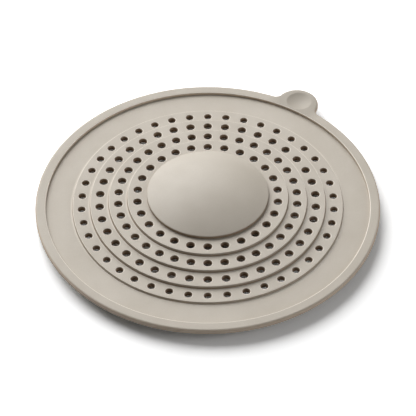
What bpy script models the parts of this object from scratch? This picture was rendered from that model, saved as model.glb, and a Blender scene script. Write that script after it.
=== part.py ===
"""A round drain hair catcher: a stepped, perforated plate with a soft rim band and pull tab,
a snap-in dome cap and four suction cups under its flange.

The origin is the disc's centre on the floor that the cups stand on, and +Z is up.
"""
import math

import bmesh
import bpy
from mathutils import Matrix

MM = 0.001

# Gaps and cuts
CLEARANCE = 0.3 * MM
CUT_OVERRUN = 1.0 * MM
MERGE_DISTANCE = 0.01 * MM

# Strainer plate
STANCE = 4.0 * MM
PLATE_WALL = 1.2 * MM
STEP_RISE = 1.4 * MM
OUTER_RISE = 1.1 * MM
STEP_DRAFT = 0.2 * MM
STEP_EDGE = 0.35 * MM
STEP_FOOT = 0.3 * MM
FLANGE_WIDTH = 11.4 * MM
# How the terraces share the width between the dome and the flange, from the innermost outwards
TERRACE_SHARES = (0.262, 0.252, 0.249, 0.237)

# Drain holes, from the innermost ring outwards
HOLE_COUNTS = (26, 34, 38, 42)
HOLE_DIAMETERS = (3.4 * MM, 3.4 * MM, 3.4 * MM, 3.0 * MM)
HOLE_BEVEL = 0.35 * MM

# Rim band
RIM_RADIUS = 72.5 * MM
RIM_WIDTH = 4.3 * MM
RIM_HEIGHT = 2.7 * MM
RIM_RISE = 1.4 * MM
RIM_WALL = 1.6 * MM
RIM_LIP = 0.5 * MM
RIM_LIP_REACH = 2.0 * MM
RIM_ROUND = 0.7 * MM

# Pull tab, a coin-shaped lobe that runs into the rim with fillets
TAB_AZIMUTH = math.radians(57.4)
TAB_OVERHANG = 0.4 * MM
TAB_RADIUS = 9.1 * MM
TAB_FILLET = 3.0 * MM
DIMPLE_OVERHANG = 2.0 * MM
DIMPLE_RADIUS = 5.4 * MM
DIMPLE_DEPTH = 1.4 * MM

# Dome cap
DOME_RADIUS = 25.5 * MM
DOME_RISER = 1.5 * MM
DOME_CROWN = 5.5 * MM
DOME_EDGE = 0.4 * MM
DOME_WALL = 1.5 * MM
SPIGOT_INSET = 1.3 * MM
SPIGOT_WALL = 1.2 * MM
BEAD_REACH = 0.6 * MM
BEAD_HEIGHT = 0.5 * MM
BEAD_LEAD = 0.6 * MM
SLOT_WIDTH = 2.4 * MM
SLOT_PAIRS = 3

# Suction cups and their sockets
CUP_COUNT = 4
CUP_RADIUS = 6.0 * MM
CUP_RIM_GAP = 0.8 * MM
CUP_LIP_WIDTH = 0.8 * MM
CUP_LIP_HEIGHT = 0.3 * MM
CUP_HOLLOW = 1.1 * MM
CUP_NECK_RADIUS = 1.6 * MM
CUP_HEAD_RADIUS = 2.4 * MM
CUP_HEAD_HEIGHT = 0.8 * MM
CUP_HEAD_EDGE = 0.2 * MM
SOCKET_WALL = 1.0 * MM
SOCKET_LIP = 0.5 * MM

# Facets
TURN_SEGMENTS = 48
DOME_SEGMENTS = 36
CUP_SEGMENTS = 12
HOLE_SIDES = 8
COIN_STEPS = 12
FILLET_STEPS = 3
ROUND_STEPS = 1
NOSE_STEPS = 8
CROWN_STEPS = 3
BELL_STEPS = 2
SMOOTH_ANGLE = math.radians(35)

# Heights above the floor
PLATE_TOP = STANCE + PLATE_WALL
TERRACE_TOPS = [PLATE_TOP + OUTER_RISE + STEP_RISE * i for i in reversed(range(len(TERRACE_SHARES)))]
RIM_TOP = PLATE_TOP + RIM_RISE
RIM_BOTTOM = RIM_TOP - RIM_HEIGHT
TONGUE_BOTTOM = RIM_BOTTOM + RIM_LIP + CLEARANCE
DOME_BASE = TERRACE_TOPS[0] + CLEARANCE
DOME_SHOULDER = TERRACE_TOPS[0] + DOME_RISER
BEAD_TOP = TERRACE_TOPS[0] - PLATE_WALL - CLEARANCE
SPIGOT_TIP = BEAD_TOP - BEAD_HEIGHT - BEAD_LEAD
SOCKET_BOTTOM = STANCE - SOCKET_LIP - CUP_HEAD_HEIGHT - 2 * CLEARANCE

# Radii
RIM_INNER = RIM_RADIUS - RIM_WIDTH
TERRACE_SPAN = RIM_INNER - FLANGE_WIDTH - DOME_RADIUS
TERRACE_ENDS = [sum(TERRACE_SHARES[:i + 1]) for i in range(len(TERRACE_SHARES))]
TERRACE_RADII = [DOME_RADIUS + TERRACE_SPAN * share for share in TERRACE_ENDS]
TERRACE_STARTS = [DOME_RADIUS] + TERRACE_RADII[:-1]
HOLE_CIRCLES = [(start + end) / 2 for start, end in zip(TERRACE_STARTS, TERRACE_RADII)]
TAB_CENTRE_RADIUS = RIM_RADIUS + TAB_OVERHANG
GROOVE_RADIUS = RIM_RADIUS - RIM_WALL
TONGUE_RADIUS = GROOVE_RADIUS - CLEARANCE
REBATE_RADIUS = GROOVE_RADIUS - RIM_LIP_REACH - CLEARANCE
SPIGOT_RADIUS = DOME_RADIUS - SPIGOT_INSET
OPENING_RADIUS = SPIGOT_RADIUS + CLEARANCE
CUP_CIRCLE = RIM_INNER - CUP_RIM_GAP - CUP_RADIUS
HINGE_RADIUS = RIM_RADIUS + CLEARANCE + RIM_HEIGHT / 2
HINGE_HEIGHT = RIM_TOP - RIM_HEIGHT / 2


def clear_scene():
    for old in list(bpy.data.objects):
        bpy.data.objects.remove(old)


def new_collection(name):
    collection = bpy.data.collections.new(name)
    bpy.context.scene.collection.children.link(collection)
    return collection


def new_material(name, colour, roughness):
    material = bpy.data.materials.new(name)
    material.use_nodes = True
    shader = material.node_tree.nodes["Principled BSDF"]
    shader.inputs["Base Color"].default_value = (*colour, 1)
    shader.inputs["Roughness"].default_value = roughness
    shader.inputs["Metallic"].default_value = 0
    return material


def new_object(name, mesh, collection):
    obj = bpy.data.objects.new(name, mesh)
    collection.objects.link(obj)
    return obj


def new_cutter(name, mesh):
    cutter = new_object(name, mesh, CUTTERS)
    cutter.hide_render = True
    cutter.display_type = "WIRE"
    return cutter


def evaluated_mesh(obj):
    """The object's mesh with its modifiers applied."""
    bpy.context.view_layer.update()
    return bpy.data.meshes.new_from_object(obj.evaluated_get(bpy.context.evaluated_depsgraph_get()))


def arc(centre, radius, start, end, steps):
    """Points on a circular arc from angle start to angle end, both ends included."""
    angles = [start + (end - start) * i / steps for i in range(steps + 1)]
    return [(centre[0] + radius * math.cos(a), centre[1] + radius * math.sin(a)) for a in angles]


def crown(base_radius, rise, base_height, inner, outer, steps):
    """Points (radius, height) on a spherical cap, between two radii, from inner to outer."""
    sphere = (base_radius ** 2 + rise ** 2) / (2 * rise)
    centre = base_height + rise - sphere
    radii = [inner + (outer - inner) * i / steps for i in range(steps + 1)]
    return [(r, centre + math.sqrt(sphere ** 2 - r ** 2)) for r in radii]


def turned_mesh(name, profile, segments, ring=False):
    """Turn (radius, height) points about Z. They run down the outer side; a ring's come back inside."""
    mesh = bpy.data.meshes.new(name)
    edges = [(i, i + 1) for i in range(len(profile) - 1)]
    if ring:
        edges.append((len(profile) - 1, 0))
    mesh.from_pydata([(radius, 0, height) for radius, height in profile], edges, [])
    guide = new_object(name, mesh, CUTTERS)
    screw = guide.modifiers.new("Turn", "SCREW")
    screw.axis = "Z"
    screw.angle = 2 * math.pi
    screw.steps = segments
    screw.render_steps = segments
    screw.use_merge_vertices = True
    screw.merge_threshold = MERGE_DISTANCE
    result = evaluated_mesh(guide)
    bpy.data.objects.remove(guide)
    bpy.data.meshes.remove(mesh)
    result.name = name
    return result


def outline_mesh(name, outlines, thickness, rounding=0):
    """Flat outlines in X and Y, made thick along Z about Z = 0, with rounded edges if asked."""
    curve = bpy.data.curves.new(name, "CURVE")
    curve.dimensions = "2D"
    curve.fill_mode = "BOTH"
    curve.extrude = thickness / 2 - rounding
    curve.bevel_depth = rounding
    curve.bevel_resolution = ROUND_STEPS - 1
    curve.offset = -rounding
    for points in outlines:
        spline = curve.splines.new("POLY")
        spline.points.add(len(points) - 1)
        for point, (x, y) in zip(spline.points, points):
            point.co = (x, y, 0, 1)
        spline.use_cyclic_u = True
    guide = new_object(name, curve, CUTTERS)
    mesh = evaluated_mesh(guide)
    bpy.data.objects.remove(guide)
    bpy.data.curves.remove(curve)
    body = bmesh.new()
    body.from_mesh(mesh)
    bmesh.ops.remove_doubles(body, verts=body.verts, dist=MERGE_DISTANCE)
    bmesh.ops.recalc_face_normals(body, faces=body.faces)
    body.to_mesh(mesh)
    body.free()
    return mesh


def joined_mesh(name, mesh, places):
    """Copies of one mesh, at each of the given matrices, in one mesh."""
    body = bmesh.new()
    for place in places:
        first = len(body.verts)
        body.from_mesh(mesh)
        body.verts.ensure_lookup_table()
        bmesh.ops.transform(body, matrix=place, verts=body.verts[first:])
    result = bpy.data.meshes.new(name)
    body.to_mesh(result)
    body.free()
    return result


def combine(obj, operation, other):
    """Add a Boolean modifier that joins, cuts or keeps obj by another object."""
    modifier = obj.modifiers.new(other.name, "BOOLEAN")
    modifier.operation = operation
    modifier.solver = "EXACT"
    modifier.object = other


def apply_and_smooth(obj, material):
    """Turn the modifiers into mesh, shade it smooth but for its sharp edges, and give it its material."""
    obj.data = evaluated_mesh(obj)
    obj.data.name = obj.name
    obj.modifiers.clear()
    obj.data.shade_smooth()
    obj.data.set_sharp_from_angle(angle=SMOOTH_ANGLE)
    obj.data.materials.clear()
    obj.data.materials.append(material)


def around(radius, angle, height=0):
    """The matrix of a place on a circle about Z, turned to face outwards."""
    return Matrix.Rotation(angle, 4, "Z") @ Matrix.Translation((radius, 0, height))


def plate_profile():
    """Down the tongue's edge, in along the underside, up the middle opening and out along the top."""
    levels = TERRACE_TOPS + [PLATE_TOP]
    underside = [(REBATE_RADIUS, TONGUE_BOTTOM), (REBATE_RADIUS, STANCE)]
    top = [(OPENING_RADIUS, TERRACE_TOPS[0])]
    for radius, upper, lower in reversed(list(zip(TERRACE_RADII, levels, levels[1:]))):
        wall = radius - PLATE_WALL
        underside += [(wall, lower - PLATE_WALL), (wall, upper - PLATE_WALL)]
    underside.append((OPENING_RADIUS, TERRACE_TOPS[0] - PLATE_WALL))
    for radius, upper, lower in zip(TERRACE_RADII, levels, levels[1:]):
        top += [(radius - STEP_EDGE, upper), (radius, upper - STEP_EDGE)]
        foot = radius + STEP_DRAFT
        top += [(foot, lower + STEP_FOOT), (foot + STEP_FOOT, lower)]
    edge = [(TONGUE_RADIUS, PLATE_TOP), (TONGUE_RADIUS, TONGUE_BOTTOM)]
    return edge + underside + top


def hole_cutters():
    """One mesh with a bevelled cutter for each drain hole."""
    body = bmesh.new()
    for circle, count, diameter, top in zip(HOLE_CIRCLES, HOLE_COUNTS, HOLE_DIAMETERS, TERRACE_TOPS):
        radius = diameter / 2
        deep = PLATE_WALL + CUT_OVERRUN
        profile = [(0, CUT_OVERRUN), (radius + HOLE_BEVEL + CUT_OVERRUN, CUT_OVERRUN),
                   (radius, -HOLE_BEVEL), (radius, -deep), (0, -deep)]
        hole = turned_mesh("hole", profile, HOLE_SIDES)
        # The first hole of each ring lies at the back, on +Y.
        angles = [math.pi / 2 + 2 * math.pi * i / count for i in range(count)]
        ring = joined_mesh("hole_ring", hole, [around(circle, angle, top) for angle in angles])
        body.from_mesh(ring)
    mesh = bpy.data.meshes.new("drain_holes")
    body.to_mesh(mesh)
    body.free()
    return new_cutter("drain_holes", mesh)


def cup_places(height=0):
    """Where the cups sit: evenly round the flange, with the tab midway between two of them."""
    turn = 2 * math.pi / CUP_COUNT
    return [around(CUP_CIRCLE, TAB_AZIMUTH + turn * (i + 0.5), height) for i in range(CUP_COUNT)]


def socket_bosses():
    """Short tubes under the flange, each with a lip that holds a cup's head."""
    outer = CUP_HEAD_RADIUS + CLEARANCE + SOCKET_WALL
    cavity = CUP_HEAD_RADIUS + CLEARANCE
    mouth = CUP_NECK_RADIUS + CLEARANCE
    root = STANCE + PLATE_WALL / 2
    profile = [(outer, root), (outer, SOCKET_BOTTOM), (mouth, SOCKET_BOTTOM),
               (mouth, SOCKET_BOTTOM + SOCKET_LIP), (cavity, SOCKET_BOTTOM + SOCKET_LIP), (cavity, root)]
    boss = turned_mesh("socket_boss", profile, CUP_SEGMENTS, ring=True)
    return new_cutter("socket_bosses", joined_mesh("socket_bosses", boss, cup_places()))


def strainer_plate(material):
    mesh = turned_mesh("strainer_plate", plate_profile(), TURN_SEGMENTS, ring=True)
    plate = new_object("strainer_plate", mesh, PARTS)
    combine(plate, "DIFFERENCE", hole_cutters())
    combine(plate, "UNION", socket_bosses())
    apply_and_smooth(plate, material)
    return plate


def band_outline():
    """The rim's outer edge and the coin of the tab, joined by two fillets, with the tab along +X."""
    reach = TAB_RADIUS + TAB_FILLET
    span = RIM_RADIUS + TAB_FILLET
    x = (span ** 2 - reach ** 2 + TAB_CENTRE_RADIUS ** 2) / (2 * TAB_CENTRE_RADIUS)
    y = math.sqrt(span ** 2 - x ** 2)
    to_coin = math.atan2(y, x - TAB_CENTRE_RADIUS)
    to_rim = math.atan2(y, x)
    coin = arc((TAB_CENTRE_RADIUS, 0), TAB_RADIUS, -to_coin, to_coin, COIN_STEPS)
    left = arc((x, y), TAB_FILLET, to_coin - math.pi, to_rim - math.pi, FILLET_STEPS)
    rim = arc((0, 0), RIM_RADIUS, to_rim, 2 * math.pi - to_rim, TURN_SEGMENTS)
    right = [(px, -py) for px, py in reversed(left)]
    return coin + left[1:-1] + rim + right[1:-1]


def groove_cutter():
    """What the band leaves free for the plate: the groove for its tongue and the step under its edge."""
    seat = PLATE_TOP + CLEARANCE
    lip = GROOVE_RADIUS - RIM_LIP_REACH
    bore = RIM_INNER - CUT_OVERRUN
    profile = [(GROOVE_RADIUS, seat), (GROOVE_RADIUS, RIM_BOTTOM + RIM_LIP), (lip, RIM_BOTTOM + RIM_LIP),
               (lip, RIM_BOTTOM - CUT_OVERRUN), (bore, RIM_BOTTOM - CUT_OVERRUN), (bore, seat)]
    return new_cutter("rim_groove", turned_mesh("rim_groove", profile, TURN_SEGMENTS, ring=True))


def band_mesh():
    """The rim band and the whole tab in one, with rounded edges and the groove in it."""
    opening = arc((0, 0), RIM_INNER, 0, 2 * math.pi, TURN_SEGMENTS)[:-1]
    mesh = outline_mesh("band", [band_outline(), opening], RIM_HEIGHT, RIM_ROUND)
    mesh.transform(Matrix.Translation((0, 0, HINGE_HEIGHT)))
    band = new_object("band", mesh, CUTTERS)
    combine(band, "DIFFERENCE", groove_cutter())
    result = evaluated_mesh(band)
    bpy.data.objects.remove(band)
    return result


def neck_tool(name, radius):
    """Everything outside the neck line, with a round nose on it, as a block along the neck line."""
    half = RIM_HEIGHT + CUT_OVERRUN
    far = TAB_CENTRE_RADIUS + TAB_RADIUS + CUT_OVERRUN - HINGE_RADIUS
    nose = arc((0, 0), radius, math.pi / 2, 3 * math.pi / 2, NOSE_STEPS)
    length = 2 * (TAB_RADIUS + TAB_FILLET)
    mesh = outline_mesh(name, [nose + [(0, -half), (far, -half), (far, half), (0, half)]], length)
    place = Matrix.Translation((HINGE_RADIUS, 0, HINGE_HEIGHT))
    mesh.transform(place @ Matrix.Rotation(math.pi / 2, 4, "X"))
    return new_cutter(name, mesh)


def dimple_cutter():
    """The thumb dimple: a shallow spherical bowl in the coin's top."""
    bowl = [(r, -z) for r, z in crown(DIMPLE_RADIUS, DIMPLE_DEPTH, 0, 0, DIMPLE_RADIUS, CROWN_STEPS)]
    profile = [(0, CUT_OVERRUN), (DIMPLE_RADIUS, CUT_OVERRUN)] + list(reversed(bowl))
    mesh = turned_mesh("thumb_dimple", profile, 2 * CUP_SEGMENTS)
    mesh.transform(Matrix.Translation((RIM_RADIUS + DIMPLE_OVERHANG, 0, RIM_TOP)))
    return new_cutter("thumb_dimple", mesh)


def rim_and_tab(material):
    """The rim band with the tab's root, and the tab with its origin on the line where it bends."""
    band = band_mesh()
    dimple = dimple_cutter()
    rim = new_object("rim_band", band, PARTS)
    combine(rim, "DIFFERENCE", neck_tool("neck_socket", RIM_HEIGHT / 2 + CLEARANCE))
    combine(rim, "DIFFERENCE", dimple)
    tab = new_object("pull_tab", band.copy(), PARTS)
    combine(tab, "INTERSECT", neck_tool("neck_nose", RIM_HEIGHT / 2))
    combine(tab, "DIFFERENCE", dimple)
    for piece in (rim, tab):
        apply_and_smooth(piece, material)
        piece.rotation_euler.z = TAB_AZIMUTH
    tab.data.transform(Matrix.Translation((-HINGE_RADIUS, 0, -HINGE_HEIGHT)))
    tab.location = around(HINGE_RADIUS, TAB_AZIMUTH, HINGE_HEIGHT).to_translation()
    return rim, tab


def dome_profile():
    """Over the crown and down the riser, under the shoulder, down the spigot and back up inside."""
    top = crown(DOME_RADIUS - DOME_EDGE, DOME_CROWN, DOME_SHOULDER, 0, DOME_RADIUS - DOME_EDGE, CROWN_STEPS)
    riser = [(DOME_RADIUS, DOME_SHOULDER - DOME_EDGE), (DOME_RADIUS, DOME_BASE)]
    bead = SPIGOT_RADIUS + BEAD_REACH
    bore = SPIGOT_RADIUS - SPIGOT_WALL
    spigot = [(SPIGOT_RADIUS, DOME_BASE), (SPIGOT_RADIUS, BEAD_TOP), (bead, BEAD_TOP),
              (bead, BEAD_TOP - BEAD_HEIGHT), (SPIGOT_RADIUS, SPIGOT_TIP), (bore, SPIGOT_TIP)]
    inside = crown(DOME_RADIUS, DOME_CROWN, DOME_SHOULDER - DOME_WALL, 0, bore, CROWN_STEPS)
    return top + riser + spigot + list(reversed(inside))


def finger_slots():
    """Blocks across the cap that part its spigot into snap fingers."""
    top = TERRACE_TOPS[0]
    bottom = SPIGOT_TIP - CUT_OVERRUN
    body = bmesh.new()
    size = Matrix.Diagonal((2 * DOME_RADIUS, SLOT_WIDTH, top - bottom, 1))
    for i in range(SLOT_PAIRS):
        turn = Matrix.Rotation(math.pi * i / SLOT_PAIRS, 4, "Z")
        place = Matrix.Translation((0, 0, (top + bottom) / 2))
        bmesh.ops.create_cube(body, size=1, matrix=turn @ place @ size)
    mesh = bpy.data.meshes.new("finger_slots")
    body.to_mesh(mesh)
    body.free()
    return new_cutter("finger_slots", mesh)


def dome_cap(material):
    cap = new_object("dome_cap", turned_mesh("dome", dome_profile(), DOME_SEGMENTS), PARTS)
    slots = finger_slots()
    combine(cap, "DIFFERENCE", slots)
    cap.modifiers[slots.name].use_self = True
    apply_and_smooth(cap, material)
    return cap


def cup_profile():
    """The head, the neck, the bell's outside down to the lip, and the hollow under it."""
    head_bottom = SOCKET_BOTTOM + SOCKET_LIP + CLEARANCE
    head_top = head_bottom + CUP_HEAD_HEIGHT
    rise = SOCKET_BOTTOM - CLEARANCE - CUP_LIP_HEIGHT
    head = [(0, head_top), (CUP_HEAD_RADIUS - CUP_HEAD_EDGE, head_top),
            (CUP_HEAD_RADIUS, head_top - CUP_HEAD_EDGE), (CUP_HEAD_RADIUS, head_bottom),
            (CUP_NECK_RADIUS, head_bottom)]
    bell = crown(CUP_RADIUS, rise, CUP_LIP_HEIGHT, CUP_NECK_RADIUS, CUP_RADIUS, BELL_STEPS)
    inner = CUP_RADIUS - CUP_LIP_WIDTH
    hollow = crown(inner, CUP_HOLLOW, 0, 0, inner, BELL_STEPS)
    return head + bell + [(CUP_RADIUS, 0)] + list(reversed(hollow))


def suction_cups(material):
    mesh = turned_mesh("suction_cup", cup_profile(), CUP_SEGMENTS)
    cups = []
    for number, place in enumerate(cup_places(), 1):
        cup = new_object(f"suction_cup_{number}", mesh, PARTS)
        cup.matrix_world = place
        cups.append(cup)
    apply_and_smooth(cups[0], material)
    for cup in cups[1:]:
        cup.data = cups[0].data
    return cups


def build():
    plate_material = new_material("plate_plastic", (0.52, 0.47, 0.41), 0.6)
    band_material = new_material("band_silicone", (0.51, 0.46, 0.39), 0.65)
    dome_material = new_material("dome_plastic", (0.52, 0.47, 0.41), 0.5)
    cup_material = new_material("cup_silicone", (0.46, 0.41, 0.35), 0.55)
    parts = [strainer_plate(plate_material), *rim_and_tab(band_material), dome_cap(dome_material)]
    parts += suction_cups(cup_material)
    frame = bpy.data.objects.new("drain_hair_catcher", None)
    PARTS.objects.link(frame)
    for part in parts:
        part.parent = frame


clear_scene()
PARTS = new_collection("drain_hair_catcher")
CUTTERS = new_collection("cutters")
build()
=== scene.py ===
"""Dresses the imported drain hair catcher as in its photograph: fine skins, silicone, floor, light, camera.

Lengths are in millimetres up to the point where a mesh or a shader takes them in metres. The floor and the
lights are given in metres.
"""
import math

import bmesh
import bpy
import numpy as np
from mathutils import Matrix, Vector
from mathutils.geometry import delaunay_2d_cdt


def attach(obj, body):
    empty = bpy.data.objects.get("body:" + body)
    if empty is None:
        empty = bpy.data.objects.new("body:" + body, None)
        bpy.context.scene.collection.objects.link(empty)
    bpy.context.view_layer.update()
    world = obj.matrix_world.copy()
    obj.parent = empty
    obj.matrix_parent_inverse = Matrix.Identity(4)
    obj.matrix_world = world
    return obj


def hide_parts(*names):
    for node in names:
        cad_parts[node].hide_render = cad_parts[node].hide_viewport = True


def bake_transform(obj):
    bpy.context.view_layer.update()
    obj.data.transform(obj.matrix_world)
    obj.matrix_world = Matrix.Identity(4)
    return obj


MM = 0.001

# The plate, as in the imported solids
STANCE = 4.0
PLATE_WALL = 1.2
STEP_RISE = 1.4
OUTER_RISE = 1.1
STEP_DRAFT = 0.2
FLANGE_WIDTH = 11.4
TERRACE_SHARES = (0.262, 0.252, 0.249, 0.237)
HOLE_COUNTS = (26, 34, 38, 42)
HOLE_RADII = (1.7, 1.7, 1.7, 1.5)

# The rim band and its tab
RIM_RADIUS = 72.5
RIM_WIDTH = 4.3
RIM_HEIGHT = 2.7
RIM_RISE = 1.4
RIM_WALL = 1.6
RIM_LIP = 0.5
RIM_LIP_REACH = 2.0
TAB_AZIMUTH = math.radians(57.4)
TAB_OVERHANG = 0.4
TAB_RADIUS = 9.1
TAB_FILLET = 3.0
# The dimple: how far its middle lies beyond the rim, and its radius
DIMPLE_OVERHANG = 2.0
DIMPLE_RADIUS = 5.4
# Shallower than in the solids, by the photo's shading
DIMPLE_DEPTH = 0.95

# The dome cap
DOME_RADIUS = 25.5
DOME_RISER = 1.5
DOME_CROWN = 5.5
DOME_WALL = 1.5
SPIGOT_INSET = 1.3
SPIGOT_WALL = 1.2
BEAD_REACH = 0.6
BEAD_HEIGHT = 0.5
BEAD_LEAD = 0.6
FINGERS = 6
CATCH_WIDTH = 1.2

# The suction cups and their sockets
CUP_COUNT = 4
CUP_RADIUS = 6.0
CUP_RIM_GAP = 0.8
CUP_LIP_WIDTH = 0.8
CUP_LIP_HEIGHT = 0.3
CUP_HOLLOW = 1.1
CUP_NECK = 1.6
CUP_HEAD = 2.4
CUP_HEAD_HEIGHT = 0.8
SOCKET_WALL = 1.0
SOCKET_LIP = 0.5

# Gaps: the solids' own, and the finer one that shows between two pieces here
CLEARANCE = 0.3
SEAM = 0.12

# Roundings of edges
STEP_EDGE = 0.2
STEP_FOOT = 0.15
UNDER_FOOT = 0.35
BRIM_WIDTH = 0.5
BRIM_DEPTH = 0.45
RIM_EDGE = 0.9
RIM_INNER_EDGE = 0.35
DOME_EDGE = 0.4
SOCKET_FOOT = 0.5
DIMPLE_EDGE = 1.0
FINE_EDGE = 0.15

# Facets
TURN = 288
AROUND_HOLE = 28
AROUND_CUP = 64
AROUND_COIN = 72
AROUND_FILLET = 18
EDGE_STEPS = 5
FINE_STEPS = 2
CROWN_STEPS = 28
SLOT_STEPS = 3
SHARP_ANGLE = math.radians(40)
FILL_EPSILON = 1e-6

# Tones of a surface point, where 0 is plain: painted shade is browner and darker, a painted highlight lighter
SHADE = -1
HALF_SHADE = -0.5
FAINT_SHADE = -0.25
HIGHLIGHT = 1

# Tones down a hole's brim, from the top area to the wall: a painted highlight, then painted shade
BRIM_TONES = (0, HIGHLIGHT, 0, HALF_SHADE, SHADE, SHADE)

# A painted light ring round the foot of a step, which lifts the shadow cast on the area below
FOOT_LIGHT = 0.5
FOOT_LIGHT_WIDTH = 1.3

# Painted shade: the tab is a little darker out to the first distance from the dimple's middle, and this
# fades up to the second
TAB_SHADE_REACH = (8.5, 14.0)

# Surface of the mouldings: scales of the noises per metre, the depth of the grain, the part of its range
# that a noise mostly fills, and the part that clouding has in the mottle
CLOUD_SCALE = 60
FLECK_SCALE = 2200
SHEEN_SCALE = 180
GRAIN_SCALE = 3200
GRAIN_DEPTH = 0.02
NOISE_SPAN = (0.3, 0.7)
CLOUD_SHARE = 0.7
MOULDING_IOR = 1.43

# The floor: half its width, its colours for light that it throws back and as the camera sees it, and the
# distances from the object over which it turns into plain white for the camera. It is seen as more than
# white so that the lit floor is plain white right up to the shadow
FLOOR_REACH = 4
FLOOR_BOUNCE = (0.58, 0.58, 0.58)
FLOOR_SEEN = (1.43, 1.43, 1.43)
FLOOR_FADE = (0.3, 0.8)

# The photograph: its width, the pixel of the disc's middle at the height of the flange, and its scale there
PICTURE_WIDTH = 416
MIDDLE_PIXEL = (207.8, 204.45)
PIXELS_PER_MM = 2.374

# The camera, with clipping distances in metres
CAMERA_ELEVATION = math.radians(45.2)
CAMERA_DISTANCE = 1000
SENSOR_WIDTH = 36
CLIP_START = 0.05
CLIP_END = 20

# Heights above the floor, inner levels first. The holes are deeper than in the solids, as the photo shows,
# and the outermost terrace is flush with the flange underneath
FLANGE_TOP = STANCE + PLATE_WALL
TERRACE_TOPS = [FLANGE_TOP + OUTER_RISE + STEP_RISE * i for i in reversed(range(len(TERRACE_SHARES)))]
HOLE_DEPTH = TERRACE_TOPS[-1] - STANCE
TERRACE_BOTTOMS = [top - HOLE_DEPTH for top in TERRACE_TOPS]
RIM_TOP = FLANGE_TOP + RIM_RISE
RIM_BOTTOM = RIM_TOP - RIM_HEIGHT
RIM_LIP_TOP = RIM_BOTTOM + RIM_LIP
TONGUE_BOTTOM = RIM_LIP_TOP + CLEARANCE
DOME_SHOULDER = TERRACE_TOPS[0] + DOME_RISER
BEAD_TOP = TERRACE_TOPS[0] - PLATE_WALL - CLEARANCE
BEAD_BOTTOM = BEAD_TOP - BEAD_HEIGHT
SPIGOT_TIP = BEAD_BOTTOM - BEAD_LEAD
SOCKET_BOTTOM = STANCE - SOCKET_LIP - CUP_HEAD_HEIGHT - 2 * CLEARANCE
SOCKET_LIP_TOP = SOCKET_BOTTOM + SOCKET_LIP
CUP_HEAD_BOTTOM = SOCKET_LIP_TOP + CLEARANCE
CUP_HEAD_TOP = CUP_HEAD_BOTTOM + CUP_HEAD_HEIGHT

# Radii
RIM_INNER = RIM_RADIUS - RIM_WIDTH
TERRACE_SPAN = RIM_INNER - FLANGE_WIDTH - DOME_RADIUS
TERRACE_ENDS = [sum(TERRACE_SHARES[:i + 1]) for i in range(len(TERRACE_SHARES))]
TERRACE_RADII = [DOME_RADIUS + TERRACE_SPAN * share for share in TERRACE_ENDS]
GROOVE_RADIUS = RIM_RADIUS - RIM_WALL
TONGUE_RADIUS = GROOVE_RADIUS - CLEARANCE
LIP_RADIUS = GROOVE_RADIUS - RIM_LIP_REACH
REBATE_RADIUS = LIP_RADIUS - CLEARANCE
TAB_CENTRE = RIM_RADIUS + TAB_OVERHANG
DIMPLE_CENTRE = RIM_RADIUS + DIMPLE_OVERHANG
SPIGOT_RADIUS = DOME_RADIUS - SPIGOT_INSET
SPIGOT_BORE = SPIGOT_RADIUS - SPIGOT_WALL
BEAD_RADIUS = SPIGOT_RADIUS + BEAD_REACH
OPENING_RADIUS = SPIGOT_RADIUS + CLEARANCE
CATCH_RADIUS = BEAD_RADIUS + CATCH_WIDTH
CUP_CIRCLE = RIM_INNER - CUP_RIM_GAP - CUP_RADIUS
SOCKET_CAVITY = CUP_HEAD + CLEARANCE
SOCKET_OUTER = SOCKET_CAVITY + SOCKET_WALL
SOCKET_MOUTH = CUP_NECK + CLEARANCE


def arc(centre, radius, start, end, steps):
    """Points on a circular arc, given in degrees, both ends included."""
    angles = [math.radians(start + (end - start) * i / steps) for i in range(steps + 1)]
    return [(centre[0] + radius * math.cos(a), centre[1] + radius * math.sin(a)) for a in angles]


def crown(base_radius, rise, base_height, inner, outer, steps):
    """Points (radius, height) on a spherical cap from one radius to another."""
    sphere = (base_radius ** 2 + rise ** 2) / (2 * rise)
    centre = base_height + rise - sphere
    radii = [inner + (outer - inner) * i / steps for i in range(steps + 1)]
    return [(r, centre + math.sqrt(sphere ** 2 - r ** 2)) for r in radii]


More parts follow.
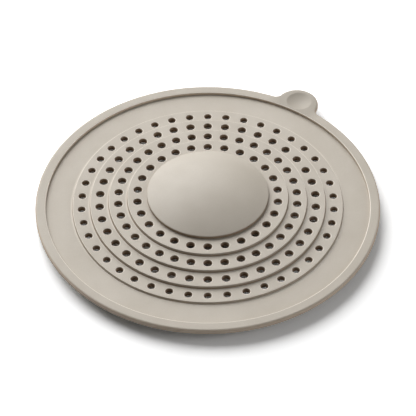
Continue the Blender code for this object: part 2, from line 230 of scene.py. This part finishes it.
class Shell:
    """The closed skin of one moulding, made of loops of points, the bands between them and flat areas."""

    def __init__(self):
        self.points = []
        self.tones = []
        self.faces = []

    def loop(self, outline, height, tone=0):
        """Add a level loop of points. Returns their numbers."""
        first = len(self.points)
        self.points += [(x, y, height) for x, y in outline]
        self.tones += [tone] * len(outline)
        return list(range(first, len(self.points)))

    def ring(self, radius, height, count, centre=(0, 0), tone=0):
        """Add a level circle of points. Returns their numbers."""
        outline = arc(centre, radius, 0, 360, count)[:-1]
        return self.loop(outline, height, tone)

    def bands(self, loops):
        """Join each loop with the next by quads."""
        for upper, lower in zip(loops, loops[1:]):
            for i, j in zip(range(len(upper)), [*range(1, len(upper)), 0]):
                self.faces.append((upper[i], upper[j], lower[j], lower[i]))

    def turn(self, profile, count, centre=(0, 0)):
        """Turn (radius, height) points, some with a tone, about an upright line. Returns the end rings."""
        rings = [self.ring(radius, height, count, centre, *tone) for radius, height, *tone in profile]
        self.bands(rings)
        return rings[0], rings[-1]

    def tip(self, ring, height, centre=(0, 0)):
        """Close a ring with a fan to one point."""
        point = self.loop([centre], height)[0]
        for i, j in zip(ring, ring[1:] + ring[:1]):
            self.faces.append((i, j, point))

    def fill(self, loops):
        """Fill the flat area inside the first loop and outside the others.

        A triangle is kept if a line from its middle to the right crosses an odd number of edges. A level edge
        is never crossed, so any rise but 0 will do for it.
        """
        numbers = [number for loop in loops for number in loop]
        flat = [Vector(self.points[number][:2]) for number in numbers]
        edges = []
        for loop in loops:
            start = len(edges)
            edges += [(start + i, start + (i + 1) % len(loop)) for i in range(len(loop))]
        _, _, faces, origins, _, _ = delaunay_2d_cdt(flat, edges, [], 0, FILL_EPSILON)
        faces = np.array([[origins[vertex][0] for vertex in face] for face in faces])
        place = np.array(flat)
        middles = place[faces].mean(axis=1)
        start, end = place[np.array(edges)].transpose(1, 0, 2)
        rise = end[:, 1] - start[:, 1]
        rise[rise == 0] = FILL_EPSILON
        crosses = (start[:, 1] > middles[:, 1:]) != (end[:, 1] > middles[:, 1:])
        at = start[:, 0] + (middles[:, 1:] - start[:, 1]) * (end[:, 0] - start[:, 0]) / rise
        inside = (crosses & (middles[:, :1] < at)).sum(axis=1) % 2 == 1
        self.faces += [tuple(numbers[vertex] for vertex in face) for face in faces[inside]]

    def piece(self, name, turn=0, place=(0, 0)):
        """Make the object, turned about Z and moved in X and Y, with flat areas shaded flat."""
        cos, sin = math.cos(turn), math.sin(turn)
        points = [((x * cos - y * sin + place[0]) * MM, (x * sin + y * cos + place[1]) * MM, z * MM)
                  for x, y, z in self.points]
        mesh = bpy.data.meshes.new(name)
        mesh.from_pydata(points, [], self.faces)
        body = bmesh.new()
        body.from_mesh(mesh)
        bmesh.ops.recalc_face_normals(body, faces=body.faces)
        body.to_mesh(mesh)
        body.free()
        mesh.attributes.new("tone", "FLOAT", "POINT").data.foreach_set("value", self.tones)
        mesh.shade_smooth()
        mesh.set_sharp_from_angle(angle=SHARP_ANGLE)
        piece = bpy.data.objects.new(name, mesh)
        bpy.context.scene.collection.objects.link(piece)
        normals = piece.modifiers.new("Flat areas", "WEIGHTED_NORMAL")
        normals.keep_sharp = True
        return piece


def toned(points, start, middle, end):
    """Add a tone to each point: one at either end, and one for all between them."""
    tones = [start] + [middle] * (len(points) - 2) + [end]
    return [(*point, tone) for point, tone in zip(points, tones)]


def outer_top(radius, height, size, steps=FINE_STEPS):
    """A rounded edge from a top area down to an outer wall."""
    return arc((radius - size, height - size), size, 90, 0, steps)


def outer_bottom(radius, height, size, steps=FINE_STEPS):
    """A rounded edge from an outer wall to an underside."""
    return arc((radius - size, height + size), size, 0, -90, steps)


def inner_bottom(radius, height, size, steps=FINE_STEPS):
    """A rounded edge from an underside up an inner wall."""
    return arc((radius + size, height + size), size, 270, 180, steps)


def inner_top(radius, height, size, steps=FINE_STEPS):
    """A rounded edge from an inner wall to a top area."""
    return arc((radius + size, height - size), size, 180, 90, steps)


def foot(radius, height, size, steps=FINE_STEPS):
    """A fillet from an outer wall down to the top area round it."""
    return arc((radius + size, height + size), size, 180, 270, steps)


def brim(radius, height):
    """A hole's soft edge, a quarter ellipse from the top area down to the wall, in painted highlight and
    shade.
    """
    angles = [math.pi / 2 * i / (len(BRIM_TONES) - 1) for i in range(len(BRIM_TONES))]
    return [(radius + BRIM_WIDTH * (1 - math.sin(a)), height - BRIM_DEPTH * (1 - math.cos(a)), tone)
            for a, tone in zip(angles, BRIM_TONES)]


def tab_point(radius, height):
    """A point on the tab's middle line, in metres."""
    return Vector((radius * math.cos(TAB_AZIMUTH), radius * math.sin(TAB_AZIMUTH), height)) * MM


def cup_centres():
    """The cups' places, evenly round the disc, with the tab midway between two of them."""
    angles = [TAB_AZIMUTH + 2 * math.pi / CUP_COUNT * (i + 0.5) for i in range(CUP_COUNT)]
    return [(CUP_CIRCLE * math.cos(a), CUP_CIRCLE * math.sin(a)) for a in angles]


def drain_holes(shell, level, height):
    """One ring of holes, with soft edges. Returns their upper and lower loops."""
    start = (DOME_RADIUS, *TERRACE_RADII)[level]
    circle = (start + TERRACE_RADII[level]) / 2
    radius = HOLE_RADII[level]
    count = HOLE_COUNTS[level]
    profile = brim(radius, height)
    # Painted shade down the hole's wall, fading out round its lower edge
    profile += toned(inner_bottom(radius, TERRACE_BOTTOMS[level], FINE_EDGE)[::-1], SHADE, SHADE, 0)
    uppers, lowers = [], []
    for i in range(count):
        angle = math.pi / 2 + 2 * math.pi * i / count
        centre = (circle * math.cos(angle), circle * math.sin(angle))
        upper, lower = shell.turn(profile, AROUND_HOLE, centre)
        uppers.append(upper)
        lowers.append(lower)
    return uppers, lowers


def socket(shell, centre):
    """A tube with an inner lip, which holds a cup's head. Returns the loop at its root."""
    profile = foot(SOCKET_OUTER, -STANCE, SOCKET_FOOT)
    profile = [(radius, -height) for radius, height in reversed(profile)]
    profile += outer_bottom(SOCKET_OUTER, SOCKET_BOTTOM, FINE_EDGE)
    profile += inner_bottom(SOCKET_MOUTH, SOCKET_BOTTOM, FINE_EDGE)
    profile += [(SOCKET_MOUTH, SOCKET_LIP_TOP), (SOCKET_CAVITY, SOCKET_LIP_TOP), (SOCKET_CAVITY, STANCE)]
    root, ceiling = shell.turn(profile, AROUND_CUP, centre)
    shell.fill([ceiling])
    return root


def plate():
    """The stepped plate: flange, four terraces with their holes, the middle opening, sockets and tongue."""
    shell = Shell()
    tops = TERRACE_TOPS + [FLANGE_TOP]
    mouth = [(CATCH_RADIUS, TERRACE_BOTTOMS[0]), (CATCH_RADIUS, tops[0] - PLATE_WALL)]
    mouth += inner_bottom(OPENING_RADIUS, tops[0] - PLATE_WALL, FINE_EDGE)
    mouth += inner_top(OPENING_RADIUS, tops[0], FINE_EDGE)
    lower_in, upper_in = shell.turn(mouth, TURN)
    for level, radius in enumerate(TERRACE_RADII):
        height, below = tops[level], tops[level + 1]
        outermost = radius == TERRACE_RADII[-1]
        # Painted highlight on a step's top edge, painted shade down its wall and in its foot, and painted
        # light round the foot
        wall_tone, foot_tone = (FAINT_SHADE, HALF_SHADE) if outermost else (0, SHADE)
        riser = toned(outer_top(radius, height, STEP_EDGE, EDGE_STEPS), 0, HIGHLIGHT, wall_tone)
        fillet = foot(radius + STEP_DRAFT, below, STEP_FOOT, EDGE_STEPS)
        riser += toned(fillet, foot_tone, foot_tone, FOOT_LIGHT)
        riser += [(radius + FOOT_LIGHT_WIDTH, below)]
        upper_out, next_upper = shell.turn(riser, TURN)
        uppers, lowers = drain_holes(shell, level, height)
        shell.fill([upper_out, upper_in, *uppers])
        upper_in = next_upper
        if not outermost:
            wall = radius - PLATE_WALL
            inside = inner_bottom(wall, TERRACE_BOTTOMS[level + 1], UNDER_FOOT)
            ceiling = TERRACE_BOTTOMS[level] - UNDER_FOOT
            inside += arc((wall - UNDER_FOOT, ceiling), UNDER_FOOT, 0, 90, FINE_STEPS)
            next_lower, lower_out = shell.turn(inside, TURN)
            shell.fill([lower_out, lower_in, *lowers])
            lower_in = next_lower
    edge = outer_top(TONGUE_RADIUS, FLANGE_TOP, FINE_EDGE)
    edge += outer_bottom(TONGUE_RADIUS, TONGUE_BOTTOM, FINE_EDGE)
    edge += [(REBATE_RADIUS, TONGUE_BOTTOM)] + outer_bottom(REBATE_RADIUS, STANCE, FINE_EDGE)
    upper_out, lower_out = shell.turn(edge, TURN)
    shell.fill([upper_out, upper_in])
    roots = [socket(shell, centre) for centre in cup_centres()]
    shell.fill([lower_out, lower_in, *lowers, *roots])
    piece = shell.piece("perforated_plate")
    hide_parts("strainer_plate")
    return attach(piece, "disc")


def band_outline(inset):
    """The band's outer edge with the tab along +X, moved inwards by inset all round.

    The fillets between the rim and the tab are round the points x, y and x, -y.
    """
    reach = TAB_RADIUS + TAB_FILLET
    span = RIM_RADIUS + TAB_FILLET
    x = (span ** 2 - reach ** 2 + TAB_CENTRE ** 2) / (2 * TAB_CENTRE)
    y = math.sqrt(span ** 2 - x ** 2)
    to_coin = math.degrees(math.atan2(y, x - TAB_CENTRE))
    to_rim = math.degrees(math.atan2(y, x))
    coin = arc((TAB_CENTRE, 0), TAB_RADIUS - inset, -to_coin, to_coin, AROUND_COIN)
    left = arc((x, y), TAB_FILLET + inset, to_coin - 180, to_rim - 180, AROUND_FILLET)
    rim = arc((0, 0), RIM_RADIUS - inset, to_rim, 360 - to_rim, TURN)
    right = [(px, -py) for px, py in reversed(left)]
    return coin + left[1:-1] + rim + right[1:-1]


def band():
    """The soft rim and its pull tab in one moulding."""
    shell = Shell()
    seat = FLANGE_TOP + SEAM
    edge = outer_top(0, RIM_TOP, RIM_EDGE, EDGE_STEPS) + outer_bottom(0, RIM_BOTTOM, RIM_EDGE, EDGE_STEPS)
    # A plain top area, a wall browned as painted shade, and a lower edge paled as painted light
    tones = [0, 0, HALF_SHADE] + [SHADE] * (EDGE_STEPS - 1) + [HALF_SHADE]
    tones += [HIGHLIGHT] * (EDGE_STEPS - 2) + [0]
    loops = [shell.loop(band_outline(-offset), height, tone) for (offset, height), tone in zip(edge, tones)]
    shell.bands(loops)
    inside = inner_bottom(LIP_RADIUS, RIM_BOTTOM, FINE_EDGE) + inner_top(LIP_RADIUS, RIM_LIP_TOP, FINE_EDGE)
    inside += [(GROOVE_RADIUS, RIM_LIP_TOP), (GROOVE_RADIUS, seat)]
    # Painted shade at the foot of the inner wall, and a painted highlight on its top edge
    inside += toned(inner_bottom(RIM_INNER, seat, FINE_EDGE), 0, SHADE, SHADE)
    inside += toned(inner_top(RIM_INNER, RIM_TOP, RIM_INNER_EDGE, EDGE_STEPS), SHADE, HIGHLIGHT, 0)
    lower_in, upper_in = shell.turn(inside, TURN)
    bowl = crown(DIMPLE_RADIUS, DIMPLE_DEPTH, -RIM_TOP, 0, DIMPLE_RADIUS, CROWN_STEPS // 2)[1:-1]
    slope = 2 * math.atan(DIMPLE_DEPTH / DIMPLE_RADIUS)
    edge_centre = (DIMPLE_RADIUS + DIMPLE_EDGE * math.tan(slope / 2), RIM_TOP - DIMPLE_EDGE)
    dimple = arc(edge_centre, DIMPLE_EDGE, 90, 90 + math.degrees(slope), EDGE_STEPS)
    dimple += [(radius, -height) for radius, height in reversed(bowl) if radius < dimple[-1][0]]
    dimple_edge, middle = shell.turn(dimple, AROUND_CUP, (DIMPLE_CENTRE, 0))
    shell.tip(middle, RIM_TOP - DIMPLE_DEPTH, (DIMPLE_CENTRE, 0))
    shell.fill([loops[0], upper_in, dimple_edge])
    shell.fill([loops[-1], lower_in])
    piece = shell.piece("rim_band_and_tab", turn=TAB_AZIMUTH)
    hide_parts("rim_band", "pull_tab")
    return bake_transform(piece)


def shoulder(top):
    """The dome's rounded shoulder, from the crown's last point down to the riser.

    The arc is lowered to that point, and shifted sideways to it, less and less towards the riser.
    """
    (radius_before, height_before), (last_radius, last_height) = top[-2:]
    slope = math.degrees(math.atan2(last_height - height_before, last_radius - radius_before))
    rounding = arc((DOME_RADIUS - DOME_EDGE, last_height - DOME_EDGE), DOME_EDGE, 90 + slope, 0, EDGE_STEPS)
    shift = last_radius - rounding[0][0]
    drop = last_height - rounding[0][1]
    return [(radius + shift * (1 - i / EDGE_STEPS), height + drop)
            for i, (radius, height) in enumerate(rounding)][1:]


def in_slot(step):
    """Whether a step round the dome lies in a slot between two of its fingers."""
    return (step + SLOT_STEPS) % (TURN // FINGERS) < 2 * SLOT_STEPS


def fingers(shell, rings):
    """The ring of snap fingers, from the rings of a whole spigot. The first and last ring are its root."""
    for i in range(TURN):
        j = (i + 1) % TURN
        if in_slot(i):
            shell.faces.append((rings[0][i], rings[0][j], rings[-1][j], rings[-1][i]))
        else:
            for upper, lower in zip(rings, rings[1:]):
                shell.faces.append((upper[i], upper[j], lower[j], lower[i]))
        if in_slot(i) != in_slot(i - 1):
            shell.faces.append(tuple(ring[i] for ring in rings))


def dome():
    """The cap: crown, rounded shoulder and riser, with a ring of snap fingers under it."""
    shell = Shell()
    base = TERRACE_TOPS[0] + SEAM
    top = crown(DOME_RADIUS, DOME_CROWN, DOME_SHOULDER, 0, DOME_RADIUS - DOME_EDGE, CROWN_STEPS)[1:]
    # Painted shade at the shoulder's foot and round the bottom edge
    outside = toned(top + shoulder(top), 0, 0, SHADE)
    outside += toned(outer_bottom(DOME_RADIUS, base, FINE_EDGE), SHADE, SHADE, 0)
    first, under = shell.turn(outside, TURN)
    shell.tip(first, DOME_SHOULDER + DOME_CROWN)
    spigot = [(SPIGOT_RADIUS, base), (SPIGOT_RADIUS, BEAD_TOP), (BEAD_RADIUS, BEAD_TOP)]
    spigot += [(BEAD_RADIUS, BEAD_BOTTOM), (SPIGOT_RADIUS, SPIGOT_TIP)]
    spigot += [(SPIGOT_BORE, SPIGOT_TIP), (SPIGOT_BORE, base)]
    rings = [shell.ring(radius, height, TURN) for radius, height in spigot]
    shell.bands([under, rings[0]])
    fingers(shell, rings)
    inside = crown(DOME_RADIUS, DOME_CROWN, DOME_SHOULDER - DOME_WALL, 0, SPIGOT_BORE, CROWN_STEPS)[1:]
    inner, last = shell.turn(inside[::-1], TURN)
    shell.bands([rings[-1], inner])
    shell.tip(last, DOME_SHOULDER - DOME_WALL + DOME_CROWN)
    piece = shell.piece("dome_top")
    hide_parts("dome_cap")
    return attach(piece, "disc")


def cup(number, centre):
    """A suction cup, whose head sits in its socket."""
    shell = Shell()
    profile = [(CUP_HEAD / 2, CUP_HEAD_TOP)] + outer_top(CUP_HEAD, CUP_HEAD_TOP, FINE_EDGE)
    profile += outer_bottom(CUP_HEAD, CUP_HEAD_BOTTOM, FINE_EDGE)
    rise = SOCKET_BOTTOM - CLEARANCE - CUP_LIP_HEIGHT
    bell = crown(CUP_RADIUS, rise, CUP_LIP_HEIGHT, CUP_NECK, CUP_RADIUS, CROWN_STEPS // 2)
    profile += [(CUP_NECK, CUP_HEAD_BOTTOM), (CUP_NECK, SOCKET_BOTTOM)]
    profile += bell + outer_bottom(CUP_RADIUS, 0, FINE_EDGE)
    inner = CUP_RADIUS - CUP_LIP_WIDTH
    hollow = crown(inner, CUP_HOLLOW, 0, 0, inner, CROWN_STEPS // 2)[1:]
    top, end = shell.turn(profile + hollow[::-1], AROUND_CUP)
    shell.tip(top, CUP_HEAD_TOP)
    shell.tip(end, CUP_HOLLOW)
    piece = shell.piece(f"soft_cup_{number}", place=centre)
    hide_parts(f"suction_cup_{number}")
    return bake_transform(piece)


def node(tree, kind, **values):
    """Add a node. Each value is for the socket of that name, or else for the setting."""
    made = tree.nodes.new(kind)
    for key, value in values.items():
        if key in made.inputs:
            made.inputs[key].default_value = value
        else:
            setattr(made, key, value)
    return made


def moulded(name, dark, light, shade_colour, edge, roughness, grain, tab_shade_colour=None):
    """Matt moulded silicone or plastic: faint clouding, a fine grain, a roughness that varies, and tones.

    A surface point's colour lies between dark and light by the clouding, and its tone takes it towards a
    painted shade colour or towards edge, a painted highlight colour. A colour given for the tab is painted
    shade round the dimple.
    """
    material = bpy.data.materials.new(name)
    material.use_nodes = True
    tree = material.node_tree
    shader = tree.nodes["Principled BSDF"]
    shader.inputs["IOR"].default_value = MOULDING_IOR
    place = tree.nodes.new("ShaderNodeTexCoord").outputs["Object"]

    def noise(scale, detail):
        made = node(tree, "ShaderNodeTexNoise", Scale=scale, Detail=detail)
        tree.links.new(place, made.inputs["Vector"])
        return made.outputs["Fac"]

    def ranged(value, first, last, low, high):
        values = {"From Min": first, "From Max": last, "To Min": low, "To Max": high}
        made = node(tree, "ShaderNodeMapRange", **values)
        tree.links.new(value, made.inputs["Value"])
        return made.outputs["Result"]

    def mixed(factor, base, added):
        made = tree.nodes.new("ShaderNodeMix")
        made.data_type = "RGBA"
        made.inputs["B"].default_value = (*added, 1)
        tree.links.new(factor, made.inputs["Factor"])
        if isinstance(base, tuple):
            made.inputs["A"].default_value = (*base, 1)
        else:
            tree.links.new(base, made.inputs["A"])
        return made.outputs["Result"]

    mottle = node(tree, "ShaderNodeMath", operation="ADD")
    clouds = ranged(noise(CLOUD_SCALE, detail=4), *NOISE_SPAN, 0, CLOUD_SHARE)
    flecks = ranged(noise(FLECK_SCALE, detail=2), *NOISE_SPAN, 0, 1 - CLOUD_SHARE)
    tree.links.new(clouds, mottle.inputs[0])
    tree.links.new(flecks, mottle.inputs[1])
    colour = mixed(mottle.outputs[0], dark, light)
    # Painted shade: the tab darker round its dimple
    if tab_shade_colour:
        away = node(tree, "ShaderNodeVectorMath", operation="DISTANCE")
        away.inputs[1].default_value = tab_point(DIMPLE_CENTRE, RIM_TOP)
        tree.links.new(place, away.inputs[0])
        inner, outer = TAB_SHADE_REACH
        colour = mixed(ranged(away.outputs["Value"], outer * MM, inner * MM, 0, 1), colour, tab_shade_colour)
    # Painted shade and painted highlight, by the tone
    tone = node(tree, "ShaderNodeAttribute", attribute_name="tone").outputs["Fac"]
    colour = mixed(ranged(tone, 0, SHADE, 0, 1), colour, shade_colour)
    colour = mixed(ranged(tone, 0, HIGHLIGHT, 0, 1), colour, edge)
    tree.links.new(colour, shader.inputs["Base Color"])
    sheen = ranged(noise(SHEEN_SCALE, detail=3), *NOISE_SPAN, *roughness)
    tree.links.new(sheen, shader.inputs["Roughness"])
    bump = node(tree, "ShaderNodeBump", Strength=grain, Distance=GRAIN_DEPTH * MM)
    tree.links.new(noise(GRAIN_SCALE, detail=3), bump.inputs["Height"])
    tree.links.new(bump.outputs["Normal"], shader.inputs["Normal"])
    return material


def floor():
    """A wide white floor. The camera sees it white right up to the shadow, and far off."""
    mesh = bpy.data.meshes.new("floor")
    corners = [(x * FLOOR_REACH, y * FLOOR_REACH, 0) for x, y in ((-1, -1), (1, -1), (1, 1), (-1, 1))]
    mesh.from_pydata(corners, [], [(0, 1, 2, 3)])
    piece = bpy.data.objects.new("floor", mesh)
    bpy.context.scene.collection.objects.link(piece)
    material = bpy.data.materials.new("floor_white")
    material.use_nodes = True
    tree = material.node_tree
    shader = tree.nodes["Principled BSDF"]
    shader.inputs["Roughness"].default_value = 1
    shader.inputs["Specular IOR Level"].default_value = 0
    seen = tree.nodes.new("ShaderNodeLightPath").outputs["Is Camera Ray"]
    colour = tree.nodes.new("ShaderNodeMix")
    colour.data_type = "RGBA"
    colour.inputs["A"].default_value = (*FLOOR_BOUNCE, 1)
    colour.inputs["B"].default_value = (*FLOOR_SEEN, 1)
    tree.links.new(seen, colour.inputs["Factor"])
    tree.links.new(colour.outputs["Result"], shader.inputs["Base Color"])
    away = node(tree, "ShaderNodeVectorMath", operation="LENGTH")
    tree.links.new(tree.nodes.new("ShaderNodeTexCoord").outputs["Object"], away.inputs[0])
    far = node(tree, "ShaderNodeMapRange", **{"From Min": FLOOR_FADE[0], "From Max": FLOOR_FADE[1]})
    tree.links.new(away.outputs["Value"], far.inputs["Value"])
    tree.links.new(seen, far.inputs["To Max"])
    white = node(tree, "ShaderNodeEmission", Strength=1)
    joined = tree.nodes.new("ShaderNodeMixShader")
    tree.links.new(far.outputs["Result"], joined.inputs["Fac"])
    tree.links.new(shader.outputs["BSDF"], joined.inputs[1])
    tree.links.new(white.outputs["Emission"], joined.inputs[2])
    tree.links.new(joined.outputs["Shader"], tree.nodes["Material Output"].inputs["Surface"])
    mesh.materials.append(material)


def area_light(name, azimuth, elevation, distance, size, power):
    """A round soft box that looks at the object. Azimuth 0 is behind the object and 90 to its left."""
    data = bpy.data.lights.new(name, "AREA")
    data.shape = "DISK"
    data.size = size
    data.energy = power
    light = bpy.data.objects.new(name, data)
    a, e = math.radians(azimuth), math.radians(elevation)
    place = Vector((-math.sin(a) * math.cos(e), math.cos(a) * math.cos(e), math.sin(e))) * distance
    light.location = place
    light.rotation_euler = (-place).to_track_quat("-Z", "Y").to_euler()
    bpy.context.scene.collection.objects.link(light)


def surroundings(strength):
    """Even light from all round. The camera sees it white."""
    world = bpy.data.worlds.new("studio")
    bpy.context.scene.world = world
    world.use_nodes = True
    tree = world.node_tree
    background = tree.nodes["Background"]
    background.inputs["Color"].default_value = (1, 1, 1, 1)
    seen = tree.nodes.new("ShaderNodeLightPath").outputs["Is Camera Ray"]
    level = node(tree, "ShaderNodeMapRange", **{"To Min": strength, "To Max": 1.0})
    tree.links.new(seen, level.inputs["Value"])
    tree.links.new(level.outputs["Result"], background.inputs["Strength"])


def camera():
    """The photograph's view, from in front and above, with a long lens."""
    data = bpy.data.cameras.new("camera")
    data.sensor_width = SENSOR_WIDTH
    data.lens = PIXELS_PER_MM * CAMERA_DISTANCE / PICTURE_WIDTH * SENSOR_WIDTH
    data.clip_start = CLIP_START
    data.clip_end = CLIP_END
    across, down = ((PICTURE_WIDTH / 2 - pixel) / PIXELS_PER_MM for pixel in MIDDLE_PIXEL)
    sin, cos = math.sin(CAMERA_ELEVATION), math.cos(CAMERA_ELEVATION)
    aim = Vector((across, -down * sin, FLANGE_TOP - down * cos))
    back = Vector((0, -cos, sin))
    made = bpy.data.objects.new("camera", data)
    made.location = (aim + back * CAMERA_DISTANCE) * MM
    made.rotation_euler = (-back).to_track_quat("-Z", "Y").to_euler()
    bpy.context.scene.collection.objects.link(made)
    bpy.context.scene.camera = made


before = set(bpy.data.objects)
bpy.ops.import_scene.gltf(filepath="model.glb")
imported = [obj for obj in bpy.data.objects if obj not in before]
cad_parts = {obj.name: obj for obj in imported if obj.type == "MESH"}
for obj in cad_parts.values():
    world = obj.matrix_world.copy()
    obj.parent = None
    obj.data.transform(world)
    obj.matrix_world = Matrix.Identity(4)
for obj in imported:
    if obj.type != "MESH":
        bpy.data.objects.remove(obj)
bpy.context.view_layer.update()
camera()
surroundings(strength=0.1)
area_light("key", azimuth=30, elevation=36, distance=2.0, size=2.5, power=67.5)
area_light("right", azimuth=255, elevation=22, distance=2.0, size=1.2, power=10)
floor()

# Colours of painted shade in recesses and on the rim's wall, of painted highlights on edges, and of painted
# shade on the tab
deep_shade_brown = (0.32, 0.235, 0.165)
wall_shade_brown = (0.63, 0.515, 0.405)
highlight_pale = (0.88, 0.82, 0.73)
tab_shade_brown = (0.44, 0.397, 0.335)
silicone = moulded("soft_silicone", dark=(0.50, 0.45, 0.38), light=(0.56, 0.51, 0.437),
                   shade_colour=wall_shade_brown, edge=highlight_pale, roughness=(0.5, 0.62), grain=0.5, tab_shade_colour=tab_shade_brown)
moulding = moulded("matt_moulding", dark=(0.515, 0.463, 0.39), light=(0.575, 0.523, 0.45),
                   shade_colour=deep_shade_brown, edge=highlight_pale, roughness=(0.48, 0.6), grain=0.5)
smooth = moulded("dome_moulding", dark=(0.51, 0.46, 0.39), light=(0.57, 0.52, 0.448),
                 shade_colour=deep_shade_brown, edge=highlight_pale, roughness=(0.42, 0.52), grain=0.3)
rubber = moulded("cup_silicone", dark=(0.44, 0.39, 0.33), light=(0.5, 0.45, 0.39),
                 shade_colour=deep_shade_brown, edge=highlight_pale, roughness=(0.35, 0.45), grain=0.2)
plate().data.materials.append(moulding)
band().data.materials.append(silicone)
dome().data.materials.append(smooth)
for count, middle in enumerate(cup_centres(), 1):
    cup(count, middle).data.materials.append(rubber)

bpy.context.scene.view_settings.view_transform = "Standard"
